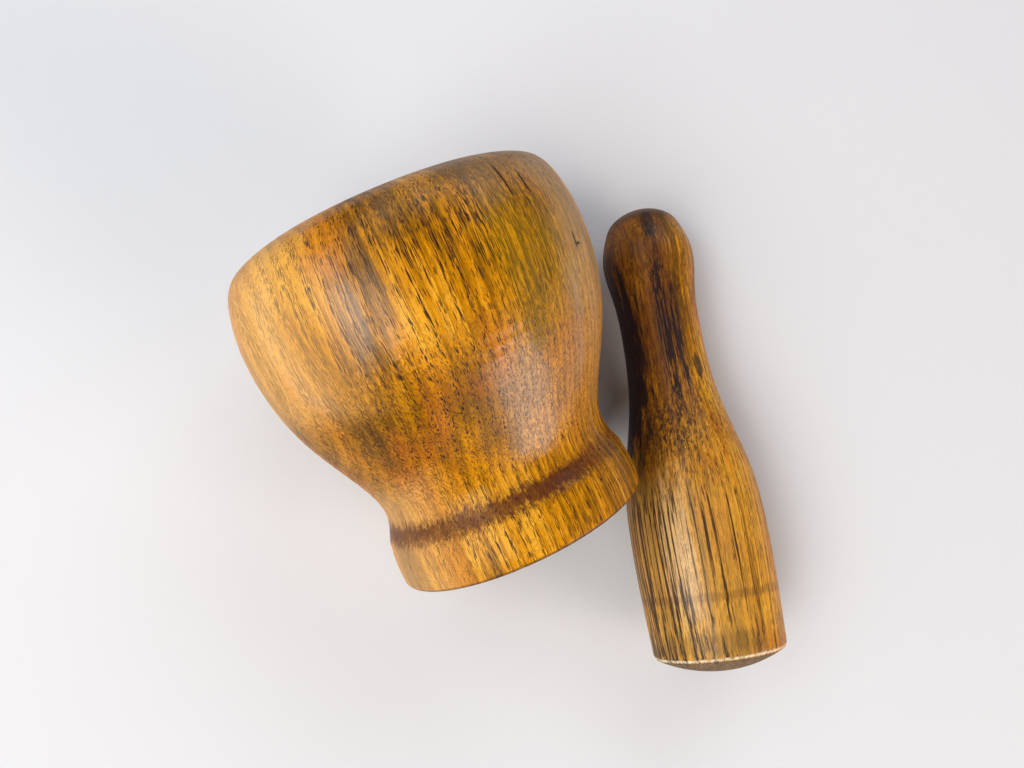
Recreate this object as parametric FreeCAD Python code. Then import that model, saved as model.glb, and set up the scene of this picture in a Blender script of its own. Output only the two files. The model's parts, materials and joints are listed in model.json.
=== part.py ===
import FreeCAD, Part
import math
import os

# A turned wooden mortar and its pestle, lying side by side on a table.
# Millimetres, +Z up from the table. +Y runs along the mortar's axis in plan, from foot to mouth.

# Mortar. Heights are measured up its own axis from the underside of the foot.
MORTAR_HEIGHT = 100.0
FOOT_EDGE = 1.4                # rounding between the underside and the band
FOOT_RADIUS = 37.7             # the foot band at its widest
BAND_MIDDLE = 6.0
BAND_BULGE = 0.1               # how much wider the band is at its middle than at its bottom
BAND_TOP = 13.0                # where the band ends and the waist's cove begins
BAND_TOP_RADIUS = 36.9
WAIST_HEIGHT = 20.5
WAIST_RADIUS = 34.6
BELLY_HEIGHT = 76.0
BELLY_RADIUS = 51.6
RIM_RADIUS = 38.6              # the circle along the top of the rolled rim
FLARE = [(37.7, 31.5), (46.4, 49.0), (50.9, 66.0)]     # radius, height: waist up to belly
SHOULDER = [(50.1, 88.5), (46.4, 96.3)]                # radius, height: belly up to rim

# Bowl inside the mortar: a straight wall above half of an ellipsoid.
LIP_RADIUS = 2.6               # rounding of the rim into the bowl
BOWL_RADIUS = RIM_RADIUS - LIP_RADIUS
BOWL_WALL_FOOT = 72.0          # height where the straight wall meets the rounded bottom
BOWL_FLOOR = 26.0              # height of the bowl's lowest point

# Pestle. Distances are measured along its axis from the crown of the pounding face.
PESTLE_LENGTH = 155.5
FACE_CROWN = 5.2               # how far the domed pounding face stands out of its edge
FACE_EDGE_RADIUS = 20.0
FACE_BEVEL = 1.2               # worn rim between the pounding face and the head's side
HEAD_RADIUS = 21.8
HEAD_WIDEST = 44.0
HEAD_START_RADIUS = 20.6
GRIP_RADIUS = 13.4
GRIP_NARROWEST = 109.0
KNOB_RADIUS = 15.6
KNOB_WIDEST = 138.5
KNOB_CAP_RADIUS = 11.9
KNOB_CROWN = 4.8               # how far the knob's domed end stands out of its edge
HEAD_TO_GRIP = [(20.7, 60.0), (18.3, 71.5), (15.0, 86.5)]   # radius, distance
GRIP_TO_KNOB = [(14.2, 124.5)]                              # radius, distance

# How the two pieces lie: plan position of the pestle's pounding face from the mortar's foot.
PESTLE_TURN = 18.5             # degrees that the pestle points clockwise of the mortar
PESTLE_FACE_X = 38.9
PESTLE_FACE_Y = -68.3

SAMPLES = 600                  # points along an outline when its resting line is sought
TILT_LIMIT = 20.0              # degrees either way that the search covers
TILT_STEP = 0.01


def point(radius, height):
    """A point of an outline drawn beside the Z axis."""
    return FreeCAD.Vector(radius, 0, height)


def line(start, end):
    return Part.LineSegment(point(*start), point(*end)).toShape()


def arc(start, middle, end):
    return Part.Arc(point(*start), point(*middle), point(*end)).toShape()


def quarter_round(centre, radius, from_angle):
    """Quarter of a circle about centre that starts at from_angle, in degrees."""
    angles = [math.radians(from_angle + turn) for turn in (0, 45, 90)]
    ends = [(centre[0] + radius * math.cos(a), centre[1] + radius * math.sin(a)) for a in angles]
    return arc(*ends)


def dome(radius, crown, edge_height, top_height):
    """Arc of a sphere about the axis, from its edge to its top, crown high."""
    sphere = (radius ** 2 + crown ** 2) / (2 * crown)
    half = radius / 2
    drop = sphere - math.sqrt(sphere ** 2 - half ** 2)
    way = 1 if top_height > edge_height else -1
    return arc((radius, edge_height), (half, top_height - way * drop), (0, top_height))


def smooth(points):
    """A curve through the points."""
    curve = Part.BSplineCurve()
    curve.interpolate(Points=[point(*p) for p in points])
    return curve.toShape()


def mortar_outside():
    """Foot underside, foot edge, band, then one curve over waist, belly and shoulder."""
    band_start = (FOOT_RADIUS - BAND_BULGE, FOOT_EDGE)
    band = [band_start, (FOOT_RADIUS, BAND_MIDDLE), (BAND_TOP_RADIUS, BAND_TOP)]
    edge_centre = (FOOT_RADIUS - BAND_BULGE - FOOT_EDGE, FOOT_EDGE)
    body = [band[-1], (WAIST_RADIUS, WAIST_HEIGHT)] + FLARE
    body += [(BELLY_RADIUS, BELLY_HEIGHT)] + SHOULDER
    body += [(RIM_RADIUS, MORTAR_HEIGHT)]
    return [
        line((0, 0), (edge_centre[0], 0)),
        quarter_round(edge_centre, FOOT_EDGE, -90),
        arc(*band),
        smooth(body),
    ]


def bowl_inside():
    """From the rim's top over the lip, down the straight wall and round the bottom to the axis."""
    lip_centre = (RIM_RADIUS, MORTAR_HEIGHT - LIP_RADIUS)
    lip = quarter_round(lip_centre, LIP_RADIUS, 90)
    wall = line((BOWL_RADIUS, lip_centre[1]), (BOWL_RADIUS, BOWL_WALL_FOOT))
    bottom = Part.Ellipse(
        point(0, BOWL_FLOOR),
        point(BOWL_RADIUS, BOWL_WALL_FOOT),
        point(0, BOWL_WALL_FOOT),
    )
    round_bottom = Part.Arc(bottom, 0, math.pi / 2).toShape()
    return [lip, wall, round_bottom]


def pestle_outside():
    """Domed pounding face, worn rim, one curve over head, grip and knob, and the domed end."""
    head_start = (HEAD_START_RADIUS, FACE_CROWN + FACE_BEVEL)
    cap_edge = PESTLE_LENGTH - KNOB_CROWN
    side = [head_start, (HEAD_RADIUS, HEAD_WIDEST)] + HEAD_TO_GRIP
    side += [(GRIP_RADIUS, GRIP_NARROWEST)] + GRIP_TO_KNOB
    side += [(KNOB_RADIUS, KNOB_WIDEST), (KNOB_CAP_RADIUS, cap_edge)]
    return [
        dome(FACE_EDGE_RADIUS, FACE_CROWN, FACE_CROWN, 0),
        line((FACE_EDGE_RADIUS, FACE_CROWN), head_start),
        smooth(side),
        dome(KNOB_CAP_RADIUS, KNOB_CROWN, cap_edge, PESTLE_LENGTH),
    ]


def turned(edges, bottom, top):
    """The solid that the outline makes on a lathe, closed along the axis from bottom to top."""
    axis = line((0, top), (0, bottom))
    face = Part.Face(Part.Wire(Part.__sortEdges__(edges + [axis])))
    return face.revolve(FreeCAD.Vector(), FreeCAD.Vector(0, 0, 1), 360)


def foot_height(outline, tilt):
    """Height of the axis's lower end when the piece touches the table at this tilt."""
    return max(p.x * math.cos(tilt) - p.z * math.sin(tilt) for p in outline)


def resting_tilt(outline, balance):
    """The tilt at which the centre of mass, at balance along the axis, lies lowest."""
    steps = round(2 * TILT_LIMIT / TILT_STEP)
    tilts = [math.radians(-TILT_LIMIT + TILT_STEP * i) for i in range(steps + 1)]
    return min(tilts, key=lambda tilt: foot_height(outline, tilt) + balance * math.sin(tilt))


def lay_down(solid, edges, turn, x, y):
    """Lay a turned solid on the table, its foot at (x, y) and its axis turned clockwise."""
    outline = [p for edge in edges for p in edge.discretize(SAMPLES)]
    tilt = resting_tilt(outline, solid.CenterOfMass.z)
    lean = FreeCAD.Rotation(FreeCAD.Vector(1, 0, 0), math.degrees(tilt) - 90)
    swing = FreeCAD.Rotation(FreeCAD.Vector(0, 0, 1), -turn)
    place = FreeCAD.Vector(x, y, foot_height(outline, tilt))
    laid = solid.copy()
    laid.Placement = FreeCAD.Placement(place, swing.multiply(lean))
    return laid


def main():
    os.makedirs("parts", exist_ok=True)
    mortar_edges = mortar_outside()
    mortar = turned(mortar_edges + bowl_inside(), 0, BOWL_FLOOR)
    pestle_edges = pestle_outside()
    pestle = turned(pestle_edges, 0, PESTLE_LENGTH)
    laid = {
        "mortar": lay_down(mortar, mortar_edges, 0, 0, 0),
        "pestle": lay_down(pestle, pestle_edges, PESTLE_TURN, PESTLE_FACE_X, PESTLE_FACE_Y),
    }
    box = Part.makeCompound(list(laid.values())).optimalBoundingBox(False, False)
    to_origin = FreeCAD.Vector(-box.Center.x, -box.Center.y, -box.ZMin)
    for name, shape in laid.items():
        shape.translate(to_origin)
        shape.exportStep(f"parts/{name}.step")
        print(name, "foot centre", shape.Placement.Base, "valid", shape.isValid())
    print("gap between the pieces", laid["mortar"].distToShape(laid["pestle"])[0])


main()
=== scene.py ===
import json
import math

import bpy
import numpy as np
from mathutils import Euler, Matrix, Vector


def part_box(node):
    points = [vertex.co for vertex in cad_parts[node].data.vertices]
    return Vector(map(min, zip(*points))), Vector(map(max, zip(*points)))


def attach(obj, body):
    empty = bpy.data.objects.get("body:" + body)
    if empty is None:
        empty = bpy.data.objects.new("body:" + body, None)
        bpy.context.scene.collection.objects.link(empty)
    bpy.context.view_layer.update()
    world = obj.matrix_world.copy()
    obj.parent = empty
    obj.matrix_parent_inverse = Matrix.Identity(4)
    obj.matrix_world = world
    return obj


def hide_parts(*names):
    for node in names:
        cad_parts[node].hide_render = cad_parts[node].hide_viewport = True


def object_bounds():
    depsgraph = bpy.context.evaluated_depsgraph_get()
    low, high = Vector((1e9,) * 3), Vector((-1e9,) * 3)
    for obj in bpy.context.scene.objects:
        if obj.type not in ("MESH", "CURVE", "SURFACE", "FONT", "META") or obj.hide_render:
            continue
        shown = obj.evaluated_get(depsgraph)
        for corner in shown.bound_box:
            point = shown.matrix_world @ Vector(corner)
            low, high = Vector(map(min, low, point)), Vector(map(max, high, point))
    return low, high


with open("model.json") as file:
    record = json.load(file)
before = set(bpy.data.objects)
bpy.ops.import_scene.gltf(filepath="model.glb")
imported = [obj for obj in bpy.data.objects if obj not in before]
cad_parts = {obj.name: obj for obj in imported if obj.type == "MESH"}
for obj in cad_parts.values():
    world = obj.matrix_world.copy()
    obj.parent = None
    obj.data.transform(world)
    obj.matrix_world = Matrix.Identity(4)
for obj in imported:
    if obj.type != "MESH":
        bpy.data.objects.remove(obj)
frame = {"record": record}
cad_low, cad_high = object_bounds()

MM = 0.001

# ---------------------------------------------------------------- the two turned shapes, in mm
# (radius, height) along each piece's own axis: from the foot's underside, and from the crown of
# the pestle's pounding face.
MORTAR_HEIGHT = 100.0
FOOT_EDGE = 1.4
FOOT_RADIUS = 37.7
BAND_BULGE = 0.1
BAND_MIDDLE = 6.0
BAND_TOP = (36.9, 13.0)
BODY = [BAND_TOP, (34.6, 20.5), (37.7, 31.5), (46.4, 49.0), (50.9, 66.0), (51.6, 76.0)]
BODY += [(50.1, 88.5), (46.4, 96.3), (38.6, MORTAR_HEIGHT)]
LIP_RADIUS = 2.6
BOWL_RADIUS = BODY[-1][0] - LIP_RADIUS
BOWL_WALL_FOOT = 72.0
BOWL_FLOOR = 26.0

PESTLE_LENGTH = 155.5
FACE_CROWN = 5.2
FACE_EDGE_RADIUS = 20.0
FACE_BEVEL = 1.2
KNOB_CAP_RADIUS = 11.9
KNOB_CROWN = 4.8
SIDE = [(20.6, FACE_CROWN + FACE_BEVEL), (21.8, 44.0), (20.7, 60.0), (18.3, 71.5), (15.0, 86.5)]
SIDE += [(13.4, 109.0), (14.2, 124.5), (15.6, 138.5), (KNOB_CAP_RADIUS, PESTLE_LENGTH - KNOB_CROWN)]
PESTLE_TURN = 18.5             # degrees clockwise of the mortar's axis in plan
PESTLE_TILT = -3.91            # degrees that the knob end lies higher than the pounding end

# ---------------------------------------------------------------- mesh density
MORTAR_SEGMENTS = 288
PESTLE_SEGMENTS = 192
ROW_STEP = 0.9                 # mm between rings of points inside the bowl and on the pounding face
SIDE_STEP = 0.6                # mm between rings along the curved sides
FLAT_STEP = 2.2                # mm between rings under the foot
CAP_STEP = 0.7                 # mm between rings over the knob's cap
FINE_STEP = 0.25               # mm between rings round small edges
RIM_TOP = 10.0                 # height that the fine rings reach above the pounding face
KNOB_EDGE = (2.5, 12)          # mm either side of the cap's edge, and passes, that round it off

# ---------------------------------------------------------------- relief of the meshes, in mm
# (height, depth, width) of the lines scored round the mortar.
SCORE_LINES = [(32.9, 0.10, 0.35), (48.4, 0.05, 0.3), (55.5, 0.04, 0.3)]
SCORE_LINES += [(26.5, 0.05, 0.3), (68.0, 0.03, 0.3)]
UNEVEN = 0.05                  # how far each piece is out of round
MORTAR_TOOL_MARKS = 0.02
PESTLE_TOOL_MARKS = 0.015
FOOT_CHIPS = 0.16
RIM_CHIPS = 0.36

# ---------------------------------------------------------------- camera
CAMERA_PLACE = Vector((-0.04867, -0.00146, 0.26861))
CAMERA_TILT = (9.55, -6.56, -25.83)        # degrees about X, Y and Z
LENS = 27.04                   # mm
SENSOR = 36.0                  # mm wide


# ---------------------------------------------------------------- outlines
def natural_spline(points, step):
    """Points about step apart on the natural cubic spline through the given points."""
    knots = np.array(points, float)
    chord = np.hypot(*np.diff(knots, axis=0).T)
    count = len(knots)
    system = np.eye(count)
    right = np.zeros((count, 2))
    slope = np.diff(knots, axis=0) / chord[:, None]
    for i in range(1, count - 1):
        system[i, i - 1] = chord[i - 1]
        system[i, i] = 2 * (chord[i - 1] + chord[i])
        system[i, i + 1] = chord[i]
        right[i] = 6 * (slope[i] - slope[i - 1])
    bend = np.linalg.solve(system, right)
    out = []
    for i in range(count - 1):
        h = chord[i]
        steps = max(2, round(h / step))
        for t in np.arange(steps) / steps * h:
            u = h - t
            value = (bend[i] * u ** 3 + bend[i + 1] * t ** 3) / (6 * h)
            value = value + (knots[i] / h - bend[i] * h / 6) * u
            value = value + (knots[i + 1] / h - bend[i + 1] * h / 6) * t
            out.append(value)
    out.append(knots[-1])
    return out


def straight(start, end, step):
    """Points about step apart from start up to but not at end."""
    length = math.dist(start, end)
    steps = max(1, round(length / step))
    return [np.array(start) + (np.array(end) - np.array(start)) * i / steps for i in range(steps)]


def round_corner(centre, radius, first, last, step):
    """Points about step apart along an arc, angles in degrees, without its end."""
    steps = max(4, round(abs(math.radians(last - first)) * radius / step))
    turns = [math.radians(first + (last - first) * i / steps) for i in range(steps)]
    return [np.array((centre[0] + radius * math.cos(a), centre[1] + radius * math.sin(a))) for a in turns]


def dome_rows(radius, crown, base, way, step):
    """Points from the axis out to a dome's edge; way is 1 if the dome points up the axis."""
    sphere = (radius ** 2 + crown ** 2) / (2 * crown)
    reach = math.asin(radius / sphere)
    steps = max(6, round(reach * sphere / step))
    out = []
    for i in range(steps + 1):
        a = reach * i / steps
        out.append(np.array((sphere * math.sin(a), base + way * sphere * (math.cos(a) - 1))))
    return out


def mortar_rows():
    """The mortar's outline from the middle of the foot's underside to the bottom of the bowl."""
    band_start = (FOOT_RADIUS - BAND_BULGE, FOOT_EDGE)
    edge_centre = (band_start[0] - FOOT_EDGE, FOOT_EDGE)
    rows = straight((0.0, 0.0), (edge_centre[0], 0.0), FLAT_STEP)
    rows += round_corner(edge_centre, FOOT_EDGE, -90, 0, FINE_STEP)
    rows += natural_spline([band_start, (FOOT_RADIUS, BAND_MIDDLE), BAND_TOP], SIDE_STEP)[:-1]
    rows += natural_spline(BODY, SIDE_STEP)[:-1]
    rows += round_corner((BODY[-1][0], MORTAR_HEIGHT - LIP_RADIUS), LIP_RADIUS, 90, 180, FINE_STEP)
    rows += straight((BOWL_RADIUS, MORTAR_HEIGHT - LIP_RADIUS), (BOWL_RADIUS, BOWL_WALL_FOOT), ROW_STEP)
    depth = BOWL_WALL_FOOT - BOWL_FLOOR
    steps = round(depth * 1.4 / ROW_STEP)
    for i in range(steps + 1):
        a = math.pi / 2 * i / steps
        rows.append(np.array((BOWL_RADIUS * math.cos(a), BOWL_WALL_FOOT - depth * math.sin(a))))
    return np.array(rows)


def pestle_rows():
    """The pestle's outline from the crown of the pounding face to the top of the knob."""
    rows = dome_rows(FACE_EDGE_RADIUS, FACE_CROWN, 0.0, -1, ROW_STEP)[:-1]
    rows += straight((FACE_EDGE_RADIUS, FACE_CROWN), SIDE[0], FINE_STEP)
    near_rim = natural_spline(SIDE, FINE_STEP)
    rows += [p for p in near_rim if p[1] < RIM_TOP]
    rows += [p for p in natural_spline(SIDE, SIDE_STEP) if p[1] >= RIM_TOP][:-1]
    cap = dome_rows(KNOB_CAP_RADIUS, KNOB_CROWN, PESTLE_LENGTH, 1, CAP_STEP)
    rows += cap[::-1]
    return soften(np.array(rows), PESTLE_LENGTH - KNOB_CROWN, *KNOB_EDGE)


# ---------------------------------------------------------------- meshes
def lathe(name, rows, segments, carve):
    """A closed mesh of rings about Z. carve gives each ring's change of radius round the turn."""
    angles = np.arange(segments) / segments * 2 * math.pi
    verts = [(0.0, 0.0, rows[0][1] * MM)]
    for radius, height in rows[1:-1]:
        around = radius + carve(radius, height, angles)
        xs = around * np.cos(angles) * MM
        ys = around * np.sin(angles) * MM
        verts += list(zip(xs, ys, np.full(segments, height * MM)))
    verts.append((0.0, 0.0, rows[-1][1] * MM))
    rings = len(rows) - 2
    faces = []
    for j in range(segments):
        k = (j + 1) % segments
        faces.append((0, 1 + k, 1 + j))
        for i in range(rings - 1):
            low = 1 + i * segments
            faces.append((low + j, low + k, low + segments + k, low + segments + j))
        top = 1 + (rings - 1) * segments
        faces.append((top + j, top + k, len(verts) - 1))
    mesh = bpy.data.meshes.new(name)
    mesh.from_pydata(verts, [], faces)
    mesh.polygons.foreach_set("use_smooth", [True] * len(mesh.polygons))
    mesh.update()
    piece = bpy.data.objects.new(name, mesh)
    bpy.context.scene.collection.objects.link(piece)
    return piece


def bump_at(value, centre, half_width):
    """1 at centre, falling smoothly to nearly 0 at half_width either side."""
    return math.exp(-(((value - centre) / half_width) ** 2) * 2.5)


def wave_sum(angles, seed, first, last):
    """A smooth random wave round the turn with whole numbers of cycles, about -1 to 1."""
    random = np.random.default_rng(seed)
    total = np.zeros_like(angles)
    for cycles in range(first, last):
        total += random.normal() * np.cos(cycles * angles + random.uniform(0, 2 * math.pi))
    return total / math.sqrt(last - first)


def mortar_carve(radius, height, angles):
    """A slightly uneven turn, faint tool marks, scored lines and small chips round the foot's edge."""
    change = wave_sum(angles, 11, 2, 5) * UNEVEN
    marks = 0.6 + 0.4 * np.cos(angles * 3 + height * 0.2)
    change += MORTAR_TOOL_MARKS * math.sin(height * 2.1) * marks
    for at, depth, width in SCORE_LINES:
        part = np.clip(0.5 + 0.8 * np.cos(angles + 0.7 - at * 0.11), 0, 1)
        change = change - depth * bump_at(height, at, width * 2) * part
    if height < 3.0 and radius > FOOT_RADIUS - 3.0:
        change = change - FOOT_CHIPS * np.clip(wave_sum(angles, 5, 20, 46) - 0.7, 0, 1.2)
    return change * min(1.0, radius / 12.0)


def pestle_carve(radius, height, angles):
    """A slightly uneven turn, faint tool marks and chips along the rim of the pounding face."""
    change = wave_sum(angles, 21, 2, 5) * UNEVEN
    marks = 0.6 + 0.4 * np.cos(angles * 2 + height * 0.1)
    change += PESTLE_TOOL_MARKS * math.sin(height * 1.7) * marks
    rim = bump_at(height, FACE_CROWN + 0.5, 1.6) if radius > FACE_EDGE_RADIUS - 2.0 else 0.0
    chips = np.clip(wave_sum(angles, 3, 6, 40) - 0.35, 0, 1.6)
    chips = chips + 0.35 * np.abs(wave_sum(angles, 8, 30, 70))
    change = change - RIM_CHIPS * rim * chips
    return change * min(1.0, radius / 8.0)


def swing_of(turn, tilt):
    """The turn that lays a piece's own axis along its direction on the table."""
    return Euler((math.radians(tilt - 90), 0, math.radians(-turn)))


def lay(piece, node, swing):
    """Lay a turned piece down, in the middle of its CAD node's box."""
    piece.data.transform(swing.to_matrix().to_4x4())
    points = np.array([v.co for v in piece.data.vertices])
    low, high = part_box(node)
    piece.location = (low + high) / 2 - Vector((points.min(0) + points.max(0)) / 2)


def soften(rows, height, reach, passes):
    """Round the outline's corner near height by averaging neighbours."""
    rows = rows.copy()
    near = [i for i in range(1, len(rows) - 1) if abs(rows[i][1] - height) < reach and rows[i][0] > 1.0]
    for _ in range(passes):
        rows[near] = (rows[[i - 1 for i in near]] + rows[near] * 2 + rows[[i + 1 for i in near]]) / 4
    return rows


# ---------------------------------------------------------------- material graphs
COAT_IOR = 1.5
BASE_IOR = 1.45


class Graph:
    """Short calls for building one material's nodes. Most of them return an output socket."""

    def __init__(self, name):
        self.material = bpy.data.materials.new(name)
        self.material.use_nodes = True
        self.tree = self.material.node_tree
        self.tree.nodes.clear()

    def feed(self, socket, value):
        if isinstance(value, bpy.types.NodeSocket):
            self.tree.links.new(value, socket)
        else:
            socket.default_value = value

    def node(self, kind, **settings):
        made = self.tree.nodes.new(kind)
        for key, value in settings.items():
            setattr(made, key, value)
        return made

    def math(self, operation, a, b=0.0, clamp=False):
        made = self.node("ShaderNodeMath", operation=operation, use_clamp=clamp)
        self.feed(made.inputs[0], a)
        self.feed(made.inputs[1], b)
        return made.outputs[0]

    def plus(self, a, b, clamp=False):
        return self.math("ADD", a, b, clamp)

    def minus(self, a, b):
        return self.math("SUBTRACT", a, b)

    def times(self, a, b, clamp=False):
        return self.math("MULTIPLY", a, b, clamp)

    def divide(self, a, b):
        return self.math("DIVIDE", a, b)

    def most(self, a, b):
        return self.math("MAXIMUM", a, b)

    def invert(self, value):
        """1 where value is 0, and 0 where it is 1."""
        return self.minus(1.0, value)

    def vector(self, operation, a, b=(0.0, 0.0, 0.0)):
        made = self.node("ShaderNodeVectorMath", operation=operation)
        self.feed(made.inputs[0], a)
        self.feed(made.inputs[1], b)
        return made.outputs["Value"] if operation == "LENGTH" else made.outputs[0]

    def off_axis(self, place):
        """How far place is from the Z axis."""
        return self.vector("LENGTH", self.vector("MULTIPLY", place, (1.0, 1.0, 0.0)))

    def split(self, vector):
        made = self.node("ShaderNodeSeparateXYZ")
        self.feed(made.inputs[0], vector)
        return made.outputs[0], made.outputs[1], made.outputs[2]

    def join(self, x, y, z):
        made = self.node("ShaderNodeCombineXYZ")
        for socket, value in zip(made.inputs, (x, y, z)):
            self.feed(socket, value)
        return made.outputs[0]

    def noise(self, place, stretch, detail, roughness, shift, warp=0.0, colour=False):
        """Noise of place times stretch; shift moves it so that two noises differ."""
        made = self.node("ShaderNodeTexNoise")
        moved = self.vector("MULTIPLY", place, stretch)
        moved = self.vector("ADD", moved, (shift, shift * 1.7, shift * 0.6))
        self.feed(made.inputs["Vector"], moved)
        made.inputs["Scale"].default_value = 1.0
        made.inputs["Detail"].default_value = detail
        made.inputs["Roughness"].default_value = roughness
        made.inputs["Distortion"].default_value = warp
        return made.outputs["Color"] if colour else made.outputs["Fac"]

    def wander(self, place, stretch, shift, reach):
        """A random sideways move of up to about half of reach."""
        drift = self.noise(place, stretch, 2.0, 0.5, shift, colour=True)
        drift = self.vector("SUBTRACT", drift, (0.5, 0.5, 0.5))
        return self.vector("MULTIPLY", drift, (reach, reach, 0.0))

    def cells(self, place, stretch, shift):
        """Voronoi cells of place times stretch: distance to the nearest point and its random colour."""
        made = self.node("ShaderNodeTexVoronoi", feature="F1")
        moved = self.vector("MULTIPLY", place, stretch)
        moved = self.vector("ADD", moved, (shift, shift, shift))
        self.feed(made.inputs["Vector"], moved)
        made.inputs["Scale"].default_value = 1.0
        made.inputs["Randomness"].default_value = 1.0
        return made.outputs["Distance"], made.outputs["Color"]

    def step(self, value, low, high, start=0.0, end=1.0):
        """Smooth change from start to end as value goes from low to high."""
        made = self.node("ShaderNodeMapRange", interpolation_type="SMOOTHSTEP")
        self.feed(made.inputs["Value"], value)
        made.inputs["From Min"].default_value = low
        made.inputs["From Max"].default_value = high
        made.inputs["To Min"].default_value = start
        made.inputs["To Max"].default_value = end
        return made.outputs["Result"]

    def hump(self, value, centre, half, soft):
        """1 within half of centre, falling to 0 over soft beyond it."""
        away = self.math("ABSOLUTE", self.minus(value, centre))
        return self.step(away, half, half + soft, 1.0, 0.0)

    def mix(self, amount, a, b):
        made = self.node("ShaderNodeMix", data_type="RGBA", blend_type="MIX")
        self.feed(made.inputs[0], amount)
        self.feed(made.inputs[6], a)
        self.feed(made.inputs[7], b)
        return made.outputs[2]

    def tint(self, colour, mask, strength, paint):
        """colour turned towards paint by strength where mask is 1."""
        return self.mix(self.times(mask, strength), colour, paint)

    def ramp(self, value, stops):
        """A colour for value; stops are (position, (r, g, b))."""
        made = self.node("ShaderNodeValToRGB")
        points = made.color_ramp.elements
        while len(points) < len(stops):
            points.new(0.5)
        for point, (position, colour) in zip(points, stops):
            point.position = position
            point.color = (*colour, 1.0)
        self.feed(made.inputs[0], value)
        return made.outputs[0]

    def bump(self, height, strength, distance, under=None):
        made = self.node("ShaderNodeBump")
        made.inputs["Strength"].default_value = strength
        made.inputs["Distance"].default_value = distance
        self.feed(made.inputs["Height"], height)
        if under is not None:
            self.feed(made.inputs["Normal"], under)
        return made.outputs[0]

    def surface(self, colour, roughness, normal, coat, coat_roughness, specular, film=None):
        """The finished material; film is the coat's own normal."""
        shader = self.node("ShaderNodeBsdfPrincipled")
        self.feed(shader.inputs["Base Color"], colour)
        self.feed(shader.inputs["Roughness"], roughness)
        self.feed(shader.inputs["Normal"], normal)
        self.feed(shader.inputs["Coat Weight"], coat)
        if film is not None:
            self.feed(shader.inputs["Coat Normal"], film)
        shader.inputs["Coat Roughness"].default_value = coat_roughness
        shader.inputs["Coat IOR"].default_value = COAT_IOR
        shader.inputs["IOR"].default_value = BASE_IOR
        shader.inputs["Specular IOR Level"].default_value = specular
        out = self.node("ShaderNodeOutputMaterial")
        self.tree.links.new(shader.outputs[0], out.inputs[0])
        return self.material


class TurnedGraph(Graph):
    """A turned piece's material: place is in mm along its own axis, which is Z.

    angle is 0 at the piece's top as it lies, in degrees, and height is measured along the axis.
    """

    def __init__(self, name, swing):
        super().__init__(name)
        undo = self.node("ShaderNodeMapping", vector_type="TEXTURE")
        self.feed(undo.inputs["Vector"], self.node("ShaderNodeTexCoord").outputs["Object"])
        undo.inputs["Rotation"].default_value = swing
        undo.inputs["Scale"].default_value = (MM, MM, MM)
        self.place = undo.outputs[0]
        x, y, self.height = self.split(self.place)
        turn = self.math("ARCTAN2", x, self.times(y, -1.0))
        self.angle = self.times(turn, 180.0 / math.pi)

    def turn_step(self, low, high, start=0.0, end=1.0):
        """A step up between two angles that falls back round the far side, so no seam shows."""
        back = self.step(self.angle, 125.0, 175.0, 1.0, 0.0)
        turned = self.times(self.step(self.angle, low, high), back)
        return self.step(turned, 0.0, 1.0, start, end)

    def patch(self, spot, ragged, amount=0.6, core=0.75):
        """A ragged oval. spot holds its centre and half size, each (angle, height)."""
        centre, half = spot
        across = self.divide(self.minus(self.angle, centre[0]), half[0])
        along = self.divide(self.minus(self.height, centre[1]), half[1])
        away = self.vector("LENGTH", self.join(across, along, 0.0))
        away = self.plus(away, self.times(self.minus(ragged, 0.5), amount * 4.0))
        return self.step(away, core, 1.95 - core, 1.0, 0.0)

    def ragged_height(self, texture, amount):
        """The height, moved by a texture so that what is drawn along it has an uneven edge."""
        return self.plus(self.height, self.times(texture, amount))


def colour4(r, g, b):
    return (r, g, b, 1.0)


# ---------------------------------------------------------------- wood
PORE = colour4(0.026, 0.009, 0.006)
LINE = colour4(0.075, 0.025, 0.009)
EMBER = colour4(0.580, 0.165, 0.002)
RING_LINE = colour4(0.150, 0.042, 0.006)
MEAN_TONE = 1.01               # the middle of the summed streak, fibre and cloud
AMBER_LEVEL = 0.62             # where on TONES the plain wood lies
TONES = [(0.38, (0.120, 0.050, 0.002)), (0.53, (0.300, 0.126, 0.0005))]
TONES += [(0.66, (0.620, 0.248, 0.0005)), (0.84, (0.800, 0.395, 0.025))]

# few and many are the shares of vessels cut open in late and in early wood.
VESSELS = dict(stretch=(2.80, 2.80, 0.105), few=0.05, many=0.62, reach=0.27, depth=0.95)
FINE_VESSELS = dict(stretch=(3.00, 3.00, 0.260), few=0.24, many=0.95, reach=0.24, depth=0.85)


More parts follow.
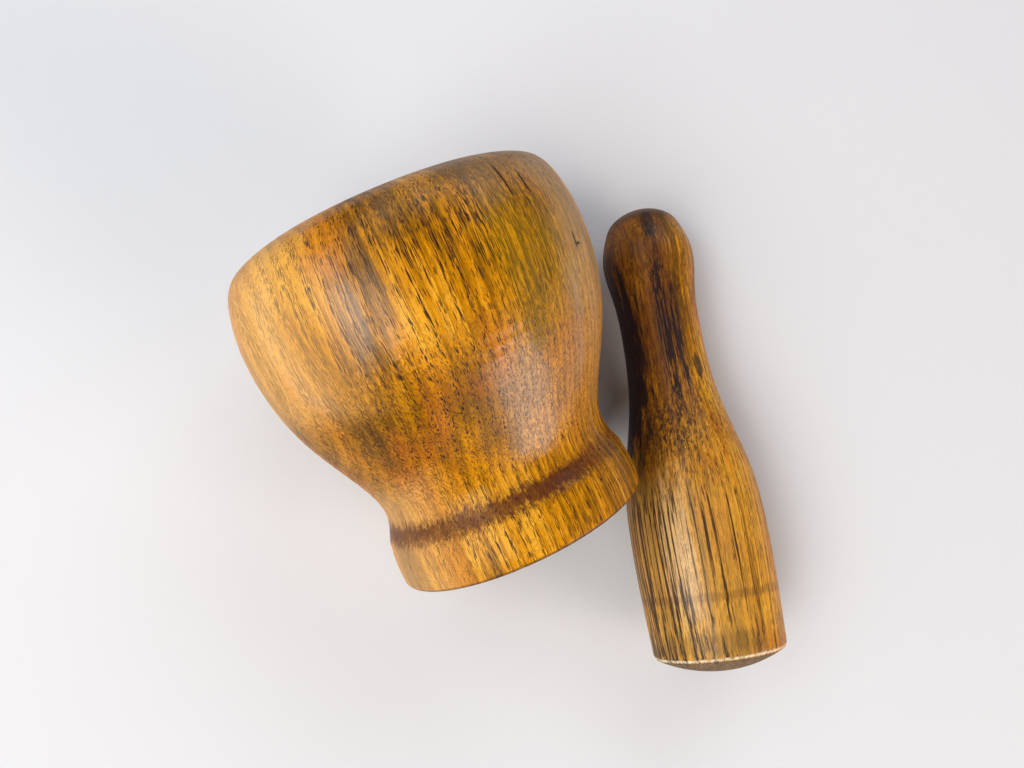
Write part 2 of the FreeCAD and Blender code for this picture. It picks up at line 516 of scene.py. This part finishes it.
def wood_layers(g, girth, pith, ring_width, seed, darken, line_amount, dense, calm):
    """The solid wood that both pieces are turned from, with its grain along the axis.

    The grain is drawn in where the piece is slimmer than girth. pith is where the heart of the
    tree lies beside the axis. darken lowers the tone, line_amount strengthens the brown lines,
    dense fills the wood with early vessels and calm evens it out where the grain is cut across.
    Returns the colour, the pores and the fibre.
    """
    spread = g.minus(1.5, g.times(g.off_axis(g.place), 0.5 / girth))
    place = g.vector("MULTIPLY", g.place, g.join(spread, spread, 1.0))
    drift = g.wander(place, (0.028, 0.028, 0.007), seed, 8.0)
    wobble = g.wander(place, (0.22, 0.22, 0.09), seed + 40.0, 1.2)
    bent = g.vector("ADD", place, drift)
    grain = g.vector("ADD", bent, wobble)
    ring, early, late = growth_rings(g, bent, pith, ring_width, dense)
    fibre = g.noise(grain, (2.8, 2.8, 0.07), 4.0, 0.65, seed + 3.0)
    streak = g.noise(grain, (0.34, 0.34, 0.010), 2.0, 0.5, seed + 7.0)

    colour = wood_tone(g, place, streak, fibre, late, seed, darken, calm)
    colour = ring_lines(g, colour, ring, streak)
    colour = fine_lines(g, colour, grain, early, seed + 21.0, line_amount, calm)
    colour, pores = pore_layer(g, colour, grain, early, seed, **VESSELS)
    colour, fine = pore_layer(g, colour, grain, early, seed + 5.0, **FINE_VESSELS)
    creases = crease_lines(g, grain, seed + 31.0)
    creases = g.times(creases, g.plus(g.times(calm, 0.65), 0.25))
    colour = g.tint(colour, creases, 0.75, LINE)
    pits = g.most(g.most(pores, g.times(fine, 0.55)), creases)
    return colour, pits, fibre


def growth_rings(g, bent, pith, width, dense):
    """Where in its growth ring each place lies, from 0 to 1, and how early and late that is."""
    x, y, _ = g.split(g.vector("SUBTRACT", bent, (*pith, 0.0)))
    from_pith = g.vector("LENGTH", g.join(x, y, 0.0))
    ring = g.math("FRACT", g.divide(from_pith, width))
    early = g.times(g.step(ring, 0.0, 0.06), g.step(ring, 0.26, 0.44, 1.0, 0.0))
    early = g.most(early, dense)
    late = g.times(g.step(ring, 0.55, 0.97), g.step(ring, 0.97, 1.0, 1.0, 0.0))
    return ring, early, late


def wood_tone(g, place, streak, fibre, late, seed, darken, calm):
    """The wood's own colour from dark brown to gold, with reddish clouds."""
    cloud = g.noise(place, (0.045, 0.045, 0.024), 3.0, 0.5, seed + 12.0)
    tone = g.plus(g.times(streak, 0.50), g.times(fibre, 0.65))
    tone = g.plus(tone, g.times(cloud, 0.95))
    tone = g.minus(tone, g.times(late, 0.12))
    tone = g.minus(tone, MEAN_TONE)
    tone = g.times(tone, g.invert(g.times(calm, 0.5)))
    tone = g.minus(g.plus(tone, AMBER_LEVEL), darken)
    warm = g.noise(place, (0.055, 0.055, 0.030), 2.0, 0.5, seed + 63.0)
    return g.mix(g.step(warm, 0.48, 0.66, 0.0, 0.50), g.ramp(tone, TONES), EMBER)


def ring_lines(g, colour, ring, streak):
    """A thin brown line at the end of each growth ring, stronger in the paler streaks."""
    edge = g.times(g.step(ring, 0.86, 0.96), g.step(ring, 0.97, 1.0, 1.0, 0.0))
    return g.mix(g.times(edge, g.step(streak, 0.40, 0.60, 0.10, 0.50)), colour, RING_LINE)


def fine_lines(g, colour, grain, early, seed, amount, calm):
    """Long hair-thin brown lines along the grain, mostly in the early wood."""
    lines = g.noise(grain, (3.00, 3.00, 0.013), 2.0, 0.60, seed)
    lines = g.step(lines, 0.560, 0.600)
    lines = g.times(lines, g.step(early, 0.0, 0.7, 0.12, 1.0))
    lines = g.times(lines, g.invert(g.times(calm, 0.7)))
    return g.mix(g.times(lines, amount, clamp=True), colour, LINE)


def crease_lines(g, grain, seed):
    """Short wandering creases in the surface, like worn leather."""
    swell = g.noise(grain, (1.15, 1.15, 0.50), 2.5, 0.6, seed, 1.2)
    away = g.math("ABSOLUTE", g.minus(swell, 0.5))
    creases = g.step(away, 0.012, 0.035, 1.0, 0.0)
    broken = g.noise(grain, (1.9, 1.9, 1.2), 1.0, 0.5, seed + 9.0)
    return g.times(creases, g.step(broken, 0.42, 0.52))


def pore_layer(g, colour, grain, early, seed, stretch, few, many, reach, depth):
    """Dark vessels cut open along the grain. Returns the colour with them, and where they are."""
    near, random = g.cells(grain, stretch, seed)
    pick, _, size = g.split(random)
    chosen = g.math("LESS_THAN", pick, g.step(early, 0.0, 1.0, few, many))
    edge = g.plus(g.times(size, 0.16), reach)
    pores = g.times(chosen, g.step(g.minus(near, edge), -0.05, 0.05, 1.0, 0.0))
    return g.tint(colour, pores, depth, PORE), pores


def wood_normal(g, pits, fibre, seed, wear_and_sheen=0.0):
    """The wood's normal, and the fainter one of the varnish over it.

    Chatter across the grain, fibre and pores stand in relief, with dimples where the wear mask is high.
    """
    chatter = g.noise(g.place, (0.35, 0.35, 2.6), 2.0, 0.5, seed)
    normal = g.bump(chatter, 0.5, 0.00014)
    dimples = g.noise(g.place, (1.1, 1.1, 0.75), 3.0, 0.55, seed + 6.0, 0.8)
    dimples = g.times(dimples, wear_and_sheen)
    normal = g.bump(dimples, 0.9, 0.00045, normal)
    normal = g.bump(fibre, 0.6, 0.00020, normal)
    normal = g.bump(g.times(pits, -1.0), 1.0, 0.00030, normal)
    film = g.bump(g.minus(dimples, g.times(pits, 0.5)), 0.5, 0.00008)
    return normal, film


def wood_roughness(g, pits, bare, stretch, seed, smooth, rough):
    """Roughness from smooth to rough by wear, higher in the pores and on the bare wood."""
    wear = g.noise(g.place, stretch, 4.0, 0.6, seed)
    roughness = g.step(wear, 0.3, 0.75, smooth, rough)
    roughness = g.plus(roughness, g.times(pits, 0.25))
    return g.plus(roughness, g.times(bare, 0.25), clamp=True), wear


# ---------------------------------------------------------------- the mortar's wood
# Patches: centre and half size, each (angle from the top in degrees, height in mm).
BROWN_SHOULDER = ((28.0, 84.0), (30.0, 22.0))
DARK_WAIST = ((-8.0, 43.0), (40.0, 11.0))
GLOWING_BELLY = ((-9.0, 70.0), (18.0, 14.0))
OLIVE_BELLY = ((30.0, 70.0), (20.0, 15.0))
# A painted reflection: a paler band down the right flank.
FLANK_REFLECTION = ((56.0, 66.0), (15.0, 36.0))
# A painted sheen on the shoulder by the rim, on the right.
RIM_SHEEN = ((38.0, 95.0), (36.0, 7.0))
RUBBED_FLARE = ((12.0, 45.0), (30.0, 24.0))
POLISHED_PALM = ((-34.0, 76.0), (24.0, 20.0))
CRACKS = [((30.0, 90.5), (0.5, 6.0)), ((37.0, 88.0), (0.5, 3.6)), ((48.5, 70.5), (0.5, 2.0))]
CRACKS += [((50.2, 69.3), (1.2, 0.4))]

FLARE_HEIGHT = 42.0
STAIN_HEIGHT = 16.2
REDDISH = colour4(0.090, 0.019, 0.008)
# A pale colour painted over the mortar's left side: painted sheen.
PAINTED_SHEEN = colour4(0.82, 0.47, 0.18)
OLIVE = colour4(0.42, 0.27, 0.004)
# The colour of the painted reflection on the right flank.
FLANK_REFLECTION_TAN = colour4(0.50, 0.33, 0.15)
# The colour of the painted sheen by the rim.
RIM_SHEEN_TAN = colour4(0.40, 0.26, 0.14)
DRY_WOOD = colour4(0.52, 0.30, 0.11)
SCUFFED_WOOD = colour4(0.36, 0.18, 0.06)
BARE_FOOT = colour4(0.30, 0.15, 0.05)


def mortar_material(swing):
    """Varnished amber wood: a reddish stain over the foot band and a drier, paler bowl."""
    g = TurnedGraph("mortar_wood_varnished", swing)
    shade = g.noise(g.place, (0.09, 0.09, 0.02), 3.0, 0.55, 44.0)
    # 1 on the right side and round the flare. Where it is 0, on the left side towards the lamps, the wood
    # is painted paler as a sheen.
    wear_and_sheen = g.most(g.turn_step(-60.0, -14.0), g.hump(g.height, FLARE_HEIGHT, 6.0, 12.0))
    colour, pits, fibre = mortar_wood(g, shade, wear_and_sheen)
    colour = mortar_patches(g, colour, shade, wear_and_sheen)
    colour = foot_stain(g, colour)
    inside = bowl_mask(g)
    colour = g.mix(inside, colour, dry_bowl(g, colour))
    underside = g.step(g.height, 0.02, 0.10, 1.0, 0.0)
    colour = g.tint(colour, underside, 0.5, BARE_FOOT)

    bare = g.most(g.times(inside, 0.85), g.times(underside, 0.9))
    roughness, _ = wood_roughness(g, pits, bare, (0.12, 0.12, 0.05), 61.0, 0.38, 0.52)
    rubbed = g.patch(RUBBED_FLARE, shade, 0.4)
    palm = g.patch(POLISHED_PALM, shade, 0.4)
    polish = g.plus(g.times(g.most(rubbed, palm), 0.7), 0.22)
    coat = g.times(g.invert(bare), polish)
    normal, film = wood_normal(g, pits, fibre, 71.0, rubbed)
    return g.surface(colour, roughness, normal, coat, 0.25, 0.05, film)


def mortar_wood(g, shade, wear_and_sheen):
    """The mortar's grain: browner on the shoulder, darker at the waist, and painted paler on the left
    side as a sheen, where the mask is 0.
    """
    brown = g.patch(BROWN_SHOULDER, shade)
    low = g.patch(DARK_WAIST, shade, 0.6, 0.2)
    glow = g.patch(GLOWING_BELLY, shade, 0.6, 0.2)
    darken = g.plus(g.times(brown, 0.03), g.times(low, 0.14))
    darken = g.minus(darken, g.times(glow, 0.09))
    # Painted sheen: the tone is raised where the mask is 0, on the left side.
    darken = g.minus(darken, g.times(g.invert(wear_and_sheen), 0.05))
    calm = g.hump(g.height, FLARE_HEIGHT, 9.0, 16.0)
    line_amount = g.plus(g.times(brown, 0.40), 0.70)
    dense = g.times(brown, 0.75)
    return wood_layers(g, 51.0, (160.0, 30.0), 2.9, 4.0, darken, line_amount, dense, calm)


def mortar_patches(g, colour, shade, wear_and_sheen):
    """Painted sheen on the left side, an olive place, a painted reflection down the right flank, painted
    sheen on the shoulder by the rim, a darker rim and the cracks.
    """
    # Painted sheen: a pale colour mixed in up to 0.45 on the left side, where the mask is 0.
    colour = g.mix(g.minus(0.45, g.times(wear_and_sheen, 0.45)), colour, PAINTED_SHEEN)
    colour = g.tint(colour, g.patch(OLIVE_BELLY, shade, 0.7, 0.2), 0.30, OLIVE)
    # Painted reflection: the right flank tinted paler.
    colour = g.tint(colour, g.patch(FLANK_REFLECTION, shade, 0.35, 0.4), 0.50, FLANK_REFLECTION_TAN)
    # Painted sheen: the shoulder by the rim tinted paler.
    colour = g.tint(colour, g.patch(RIM_SHEEN, shade, 0.5, 0.3), 0.50, RIM_SHEEN_TAN)
    rim = g.times(g.step(g.height, 91.5, 97.5), g.step(shade, 0.30, 0.60, 0.38, 0.12))
    colour = g.mix(rim, colour, LINE)
    for crack in CRACKS:
        colour = g.tint(colour, g.patch(crack, shade, 0.5), 0.9, PORE)
    return colour


def foot_stain(g, colour):
    """The ragged reddish stain over the band's top edge, and a dark line at the foot's edge."""
    ragged = g.noise(g.place, (0.9, 0.9, 0.45), 4.0, 0.65, 31.0)
    stain = g.hump(g.ragged_height(g.minus(ragged, 0.5), 9.0), STAIN_HEIGHT, 0.8, 3.6)
    broad = g.noise(g.place, (0.05, 0.05, 0.05), 2.0, 0.5, 37.0)
    stain = g.times(stain, g.step(broad, 0.30, 0.62, 0.75, 1.0))
    stain = g.times(stain, g.turn_step(5.0, 75.0, 0.95, 0.45))
    colour = g.mix(stain, colour, REDDISH)
    return g.tint(colour, g.hump(g.height, 0.35, 0.2, 0.7), 0.75, LINE)


def bowl_mask(g):
    """1 on the bowl's straight wall and rounded bottom, and 0 outside."""
    below = g.most(g.minus(BOWL_WALL_FOOT, g.height), 0.0)
    below = g.divide(below, BOWL_WALL_FOOT - BOWL_FLOOR)
    out = g.divide(g.off_axis(g.place), BOWL_RADIUS)
    depth = g.vector("LENGTH", g.join(below, out, 0.0))
    return g.step(depth, 1.012, 1.05, 1.0, 0.0)


def dry_bowl(g, colour):
    """The bowl's wood, paler and scuffed."""
    scuffs = g.noise(g.place, (0.35, 0.35, 0.35), 5.0, 0.7, 52.0)
    dry = g.mix(0.55, colour, DRY_WOOD)
    return g.mix(g.step(scuffs, 0.35, 0.7, 0.0, 0.5), dry, SCUFFED_WOOD)


# ---------------------------------------------------------------- the pestle's wood
# Patches, given in the same way.
# The broad black side is partly stain and partly painted shadow.
BLACK_STAIN_AND_SHADOW_SIDE = ((-94.0, 100.0), (48.0, 38.0))
BLACK_STREAKS = [((-11.0, 110.0), (9.5, 30.0)), ((4.0, 106.0), (6.0, 20.0))]
BLACK_SPOT = ((25.0, 95.0), (7.0, 4.0))
MOTTLED_NECK = ((-27.0, 75.0), (34.0, 12.0))
BLACK_KNOB = ((-10.0, 146.0), (9.0, 6.0))
# A painted highlight on the head's left.
HEAD_HIGHLIGHT = ((-40.0, 36.0), (13.0, 22.0))
POLISHED_HEAD = ((-24.0, 38.0), (26.0, 30.0))

# Black for the stains, and for the painted shadow on the grip's broad side.
BLACK_STAIN_AND_SHADOW = colour4(0.014, 0.010, 0.016)
RUDDY = colour4(0.22, 0.068, 0.014)
KNOB_BROWN = colour4(0.070, 0.028, 0.010)
DRY_HEAD = colour4(0.68, 0.38, 0.08)
HEAD_LINE = colour4(0.032, 0.014, 0.008)
# The colour of the painted highlight on the head.
HIGHLIGHT_CREAM = colour4(0.78, 0.52, 0.24)
SMUDGE = colour4(0.05, 0.03, 0.02)
FRESH_CHIP = colour4(0.86, 0.74, 0.54)
END_GRAIN = [(0.36, (0.045, 0.032, 0.022)), (0.50, (0.150, 0.110, 0.072))]
END_GRAIN += [(0.66, (0.300, 0.235, 0.160))]


def pestle_material(swing):
    """The same wood, darker: black stains on the grip with painted shadow in its broad black side, a
    paler streaked head with a painted highlight, and a bare pounding face.
    """
    g = TurnedGraph("pestle_wood_worn", swing)
    grip = g.plus(g.step(g.height, 54.0, 84.0, 0.04, 0.10), g.step(g.height, 122.0, 140.0, 0.0, 0.10))
    grip = g.times(grip, g.turn_step(5.0, 35.0, 1.0, 0.10))
    colour, pits, fibre = wood_layers(g, 21.0, (90.0, 14.0), 2.2, 17.0, grip, 0.65, 0.2, 0.0)
    ragged = g.noise(g.place, (0.55, 0.55, 0.06), 5.0, 0.68, 83.0)
    speckle = g.noise(g.place, (0.85, 0.85, 0.38), 5.0, 0.7, 91.0)
    colour = ruddy_grip(g, colour)
    colour = black_stains_and_shadow_on_grip(g, colour, ragged, speckle)
    colour = dark_knob(g, colour, speckle)
    colour = streaked_head(g, colour, ragged)
    colour = head_marks(g, colour, speckle)
    colour, bare = pounding_face(g, colour, speckle)

    roughness, wear = wood_roughness(g, pits, bare, (0.14, 0.14, 0.05), 121.0, 0.42, 0.58)
    sheen = g.plus(g.times(g.patch(POLISHED_HEAD, wear), 0.5), 0.3)
    coat = g.times(g.invert(bare), sheen)
    normal, film = wood_normal(g, pits, fibre, 131.0)
    return g.surface(colour, roughness, normal, coat, 0.32, 0.08, film)


def ruddy_grip(g, colour):
    """A redder left side to the grip, with long dark threads all round it."""
    ruddy = g.times(g.step(g.height, 60.0, 90.0), g.turn_step(-5.0, 24.0, 0.50, 0.0))
    colour = g.mix(ruddy, colour, RUDDY)
    threads = g.noise(g.place, (1.7, 1.7, 0.022), 3.0, 0.62, 73.0)
    threads = g.times(g.step(threads, 0.50, 0.58), g.step(g.height, 60.0, 80.0))
    return g.tint(colour, threads, 0.55, LINE)


def black_stains_and_shadow_on_grip(g, colour, ragged, speckle):
    """Black down the grip: one broad side that is partly stain and partly painted shadow, two streaks of
    strands, a spot and specks of stain.
    """
    # The broad black side, towards the mortar, is partly a stain and partly painted shadow from the gap
    # between the pieces.
    colour = g.tint(colour, g.patch(BLACK_STAIN_AND_SHADOW_SIDE, ragged, 0.55), 0.94, BLACK_STAIN_AND_SHADOW)
    strands = g.noise(g.place, (1.5, 1.5, 0.045), 3.0, 0.6, 87.0)
    strands = g.step(strands, 0.42, 0.48)
    for streak in BLACK_STREAKS:
        dark = g.times(g.patch(streak, ragged, 0.75), strands)
        colour = g.tint(colour, dark, 0.92, BLACK_STAIN_AND_SHADOW)
    colour = g.tint(colour, g.patch(BLACK_SPOT, speckle, 0.25), 0.75, BLACK_STAIN_AND_SHADOW)
    mottled = g.times(g.patch(MOTTLED_NECK, speckle, 0.5), g.step(speckle, 0.45, 0.60))
    return g.tint(colour, mottled, 0.85, BLACK_STAIN_AND_SHADOW)


def dark_knob(g, colour, speckle):
    """A browner top to the knob and a black mark below it."""
    top = g.step(g.ragged_height(speckle, 5.0), 149.0, 153.5)
    colour = g.tint(colour, top, 0.72, KNOB_BROWN)
    return g.tint(colour, g.patch(BLACK_KNOB, speckle, 0.5), 0.7, BLACK_STAIN_AND_SHADOW)


def streaked_head(g, colour, ragged):
    """A drier head with long dark lines, denser on the left, and a painted highlight: a pale strip
    between the lines on the left.
    """
    head = g.step(g.height, 50.0, 66.0, 1.0, 0.0)
    colour = g.mix(g.times(head, g.turn_step(-10.0, 40.0, 0.45, 0.12)), colour, DRY_HEAD)
    lines = g.noise(g.place, (0.95, 0.95, 0.006), 4.0, 0.7, 101.0)
    lines = g.step(g.plus(lines, g.turn_step(-95.0, 25.0, 0.08, 0.0)), 0.54, 0.61)
    fade = g.times(head, g.turn_step(5.0, 35.0, 0.95, 0.45))
    colour = g.mix(g.times(lines, fade), colour, HEAD_LINE)
    # Painted highlight: a pale strip between the lines on the head's left.
    painted_highlight = g.times(g.patch(HEAD_HIGHLIGHT, ragged, 0.4, 0.5), g.invert(lines))
    return g.tint(colour, painted_highlight, 0.55, HIGHLIGHT_CREAM)


def head_marks(g, colour, speckle):
    """A faint ring round the head and a smudge below it."""
    ring = g.hump(g.ragged_height(speckle, 1.5), 24.3, 0.5, 1.4)
    colour = g.tint(colour, ring, 0.32, LINE)
    smudge = g.hump(g.ragged_height(speckle, 6.0), 13.5, 1.5, 2.5)
    smudge = g.times(smudge, g.hump(g.angle, -28.0, 30.0, 25.0))
    return g.tint(colour, smudge, 0.35, SMUDGE)


def pounding_face(g, colour, speckle):
    """Dark end grain inside a pale chipped rim. Returns the colour and where the wood is bare."""
    face = g.step(g.height, 5.0, 5.35, 1.0, 0.0)
    grit = g.noise(g.place, (1.6, 1.6, 1.6), 4.0, 0.7, 111.0)
    colour = g.tint(colour, face, 0.88, g.ramp(grit, END_GRAIN))
    chipped = g.hump(g.ragged_height(grit, 1.5), FACE_CROWN + 1.30, 0.20, 0.30)
    chipped = g.times(chipped, g.step(g.off_axis(g.place), 18.6, 19.4))
    amount = g.step(speckle, 0.38, 0.55, 0.25, 0.9)
    return g.tint(colour, chipped, amount, FRESH_CHIP), g.most(face, chipped)


# ---------------------------------------------------------------- the table's surface
def table_material():
    """A plain pale matt table."""
    g = Graph("table_pale")
    where = g.node("ShaderNodeTexCoord").outputs["Object"]
    cloud = g.noise(where, (1.5, 1.5, 1.5), 2.0, 0.5, 2.0)
    colour = g.ramp(cloud, [(0.3, (0.685, 0.710, 0.765)), (0.7, (0.702, 0.726, 0.777))])
    grain = g.noise(where, (900.0, 900.0, 900.0), 2.0, 0.5, 3.0)
    return g.surface(colour, 0.62, g.bump(grain, 0.05, 0.0001), 0.0, 0.3, 0.3)


# ---------------------------------------------------------------- the object
def build_pieces():
    mortar = lathe("mortar_body", mortar_rows(), MORTAR_SEGMENTS, mortar_carve)
    swing = swing_of(0.0, mount_tilt())
    mortar.data.materials.append(mortar_material(swing))
    lay(mortar, "mortar", swing)
    pestle = lathe("pestle_body", pestle_rows(), PESTLE_SEGMENTS, pestle_carve)
    swing = swing_of(PESTLE_TURN, PESTLE_TILT)
    pestle.data.materials.append(pestle_material(swing))
    lay(pestle, "pestle", swing)
    for piece, node, slot in ((mortar, "mortar", "mortar_wood"), (pestle, "pestle", "pestle_wood")):
        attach(piece, node)
        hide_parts(node)


def mount_tilt():
    """Degrees that the mortar's axis rises, read from its foot's mount."""
    mount = next(m for m in frame["record"]["mounts"] if m["name"] == "foot_base")
    return math.degrees(math.asin(-mount["axis"][2]))


# ---------------------------------------------------------------- studio
FLOOR_REACH = 4.0              # metres
FLOOR_SIDES = 96
ROOM_LEVEL = colour4(0.35, 0.36, 0.39)
ROOM_OVERHEAD = colour4(0.05, 0.05, 0.055)
# Name, azimuth and elevation in degrees, distance and size in metres, power in watts, colour.
LIGHTS = [
    ("window_left", -152.0, 42.0, 1.8, (2.1, 1.1), 16.0, (1.0, 1.0, 1.0)),
    ("window_left_core", -138.0, 50.0, 1.79, (1.35, 0.95), 19.0, (1.0, 0.94, 0.84)),
    ("window_right", -34.0, 15.0, 1.5, (0.80, 0.95), 17.5, (1.0, 0.80, 0.66)),
    ("back_left", 150.0, 48.0, 2.0, (1.4, 0.9), 9.0, (0.97, 0.98, 1.0)),
    ("back_right", 70.0, 38.0, 2.0, (1.6, 0.9), 12.0, (0.98, 0.98, 0.98)),
]


def build_table():
    """A wide flat disc at the height the object stands on."""
    turns = [2 * math.pi * i / FLOOR_SIDES for i in range(FLOOR_SIDES)]
    verts = [(FLOOR_REACH * math.cos(a), FLOOR_REACH * math.sin(a), cad_low[2]) for a in turns]
    mesh = bpy.data.meshes.new("table_top")
    mesh.from_pydata(verts, [], [tuple(range(FLOOR_SIDES))])
    table = bpy.data.objects.new("table_top", mesh)
    bpy.context.scene.collection.objects.link(table)
    table.data.materials.append(table_material())


def soft_light(name, azimuth, elevation, distance, size, power, colour):
    """A rectangular light seen at azimuth and elevation, in degrees in the camera's own plan."""
    turn = math.radians(azimuth + CAMERA_TILT[2])
    rise = math.radians(elevation)
    way = Vector((math.cos(turn) * math.cos(rise), math.sin(turn) * math.cos(rise), math.sin(rise)))
    lamp = bpy.data.lights.new(name, "AREA")
    lamp.shape = "RECTANGLE"
    lamp.size, lamp.size_y = size
    lamp.energy = power
    lamp.color = colour
    holder = bpy.data.objects.new(name, lamp)
    middle = (Vector(cad_low) + Vector(cad_high)) / 2
    holder.location = middle + way * distance
    holder.rotation_euler = way.to_track_quat("Z", "Y").to_euler()
    bpy.context.scene.collection.objects.link(holder)


def build_sky():
    """A pale room that is darker overhead."""
    world = bpy.data.worlds.new("room")
    bpy.context.scene.world = world
    world.use_nodes = True
    nodes, links = world.node_tree.nodes, world.node_tree.links
    way = nodes.new("ShaderNodeTexCoord")
    parts = nodes.new("ShaderNodeSeparateXYZ")
    ramp = nodes.new("ShaderNodeValToRGB")
    ramp.color_ramp.elements[0].position = 0.0
    ramp.color_ramp.elements[0].color = ROOM_LEVEL
    ramp.color_ramp.elements[1].position = 0.45
    ramp.color_ramp.elements[1].color = ROOM_OVERHEAD
    links.new(way.outputs["Generated"], parts.inputs[0])
    links.new(parts.outputs[2], ramp.inputs[0])
    links.new(ramp.outputs[0], nodes["Background"].inputs["Color"])
    nodes["Background"].inputs["Strength"].default_value = 1.0


def build_camera():
    lens = bpy.data.cameras.new("view")
    lens.lens = LENS
    lens.sensor_width = SENSOR
    lens.clip_start = 0.01
    camera = bpy.data.objects.new("view", lens)
    camera.location = CAMERA_PLACE
    camera.rotation_euler = [math.radians(a) for a in CAMERA_TILT]
    bpy.context.scene.collection.objects.link(camera)
    bpy.context.scene.camera = camera


build_camera()
build_table()
build_sky()
for light in LIGHTS:
    soft_light(*light)
build_pieces()
bpy.context.scene.view_settings.view_transform = "Standard"

bpy.context.view_layer.update()
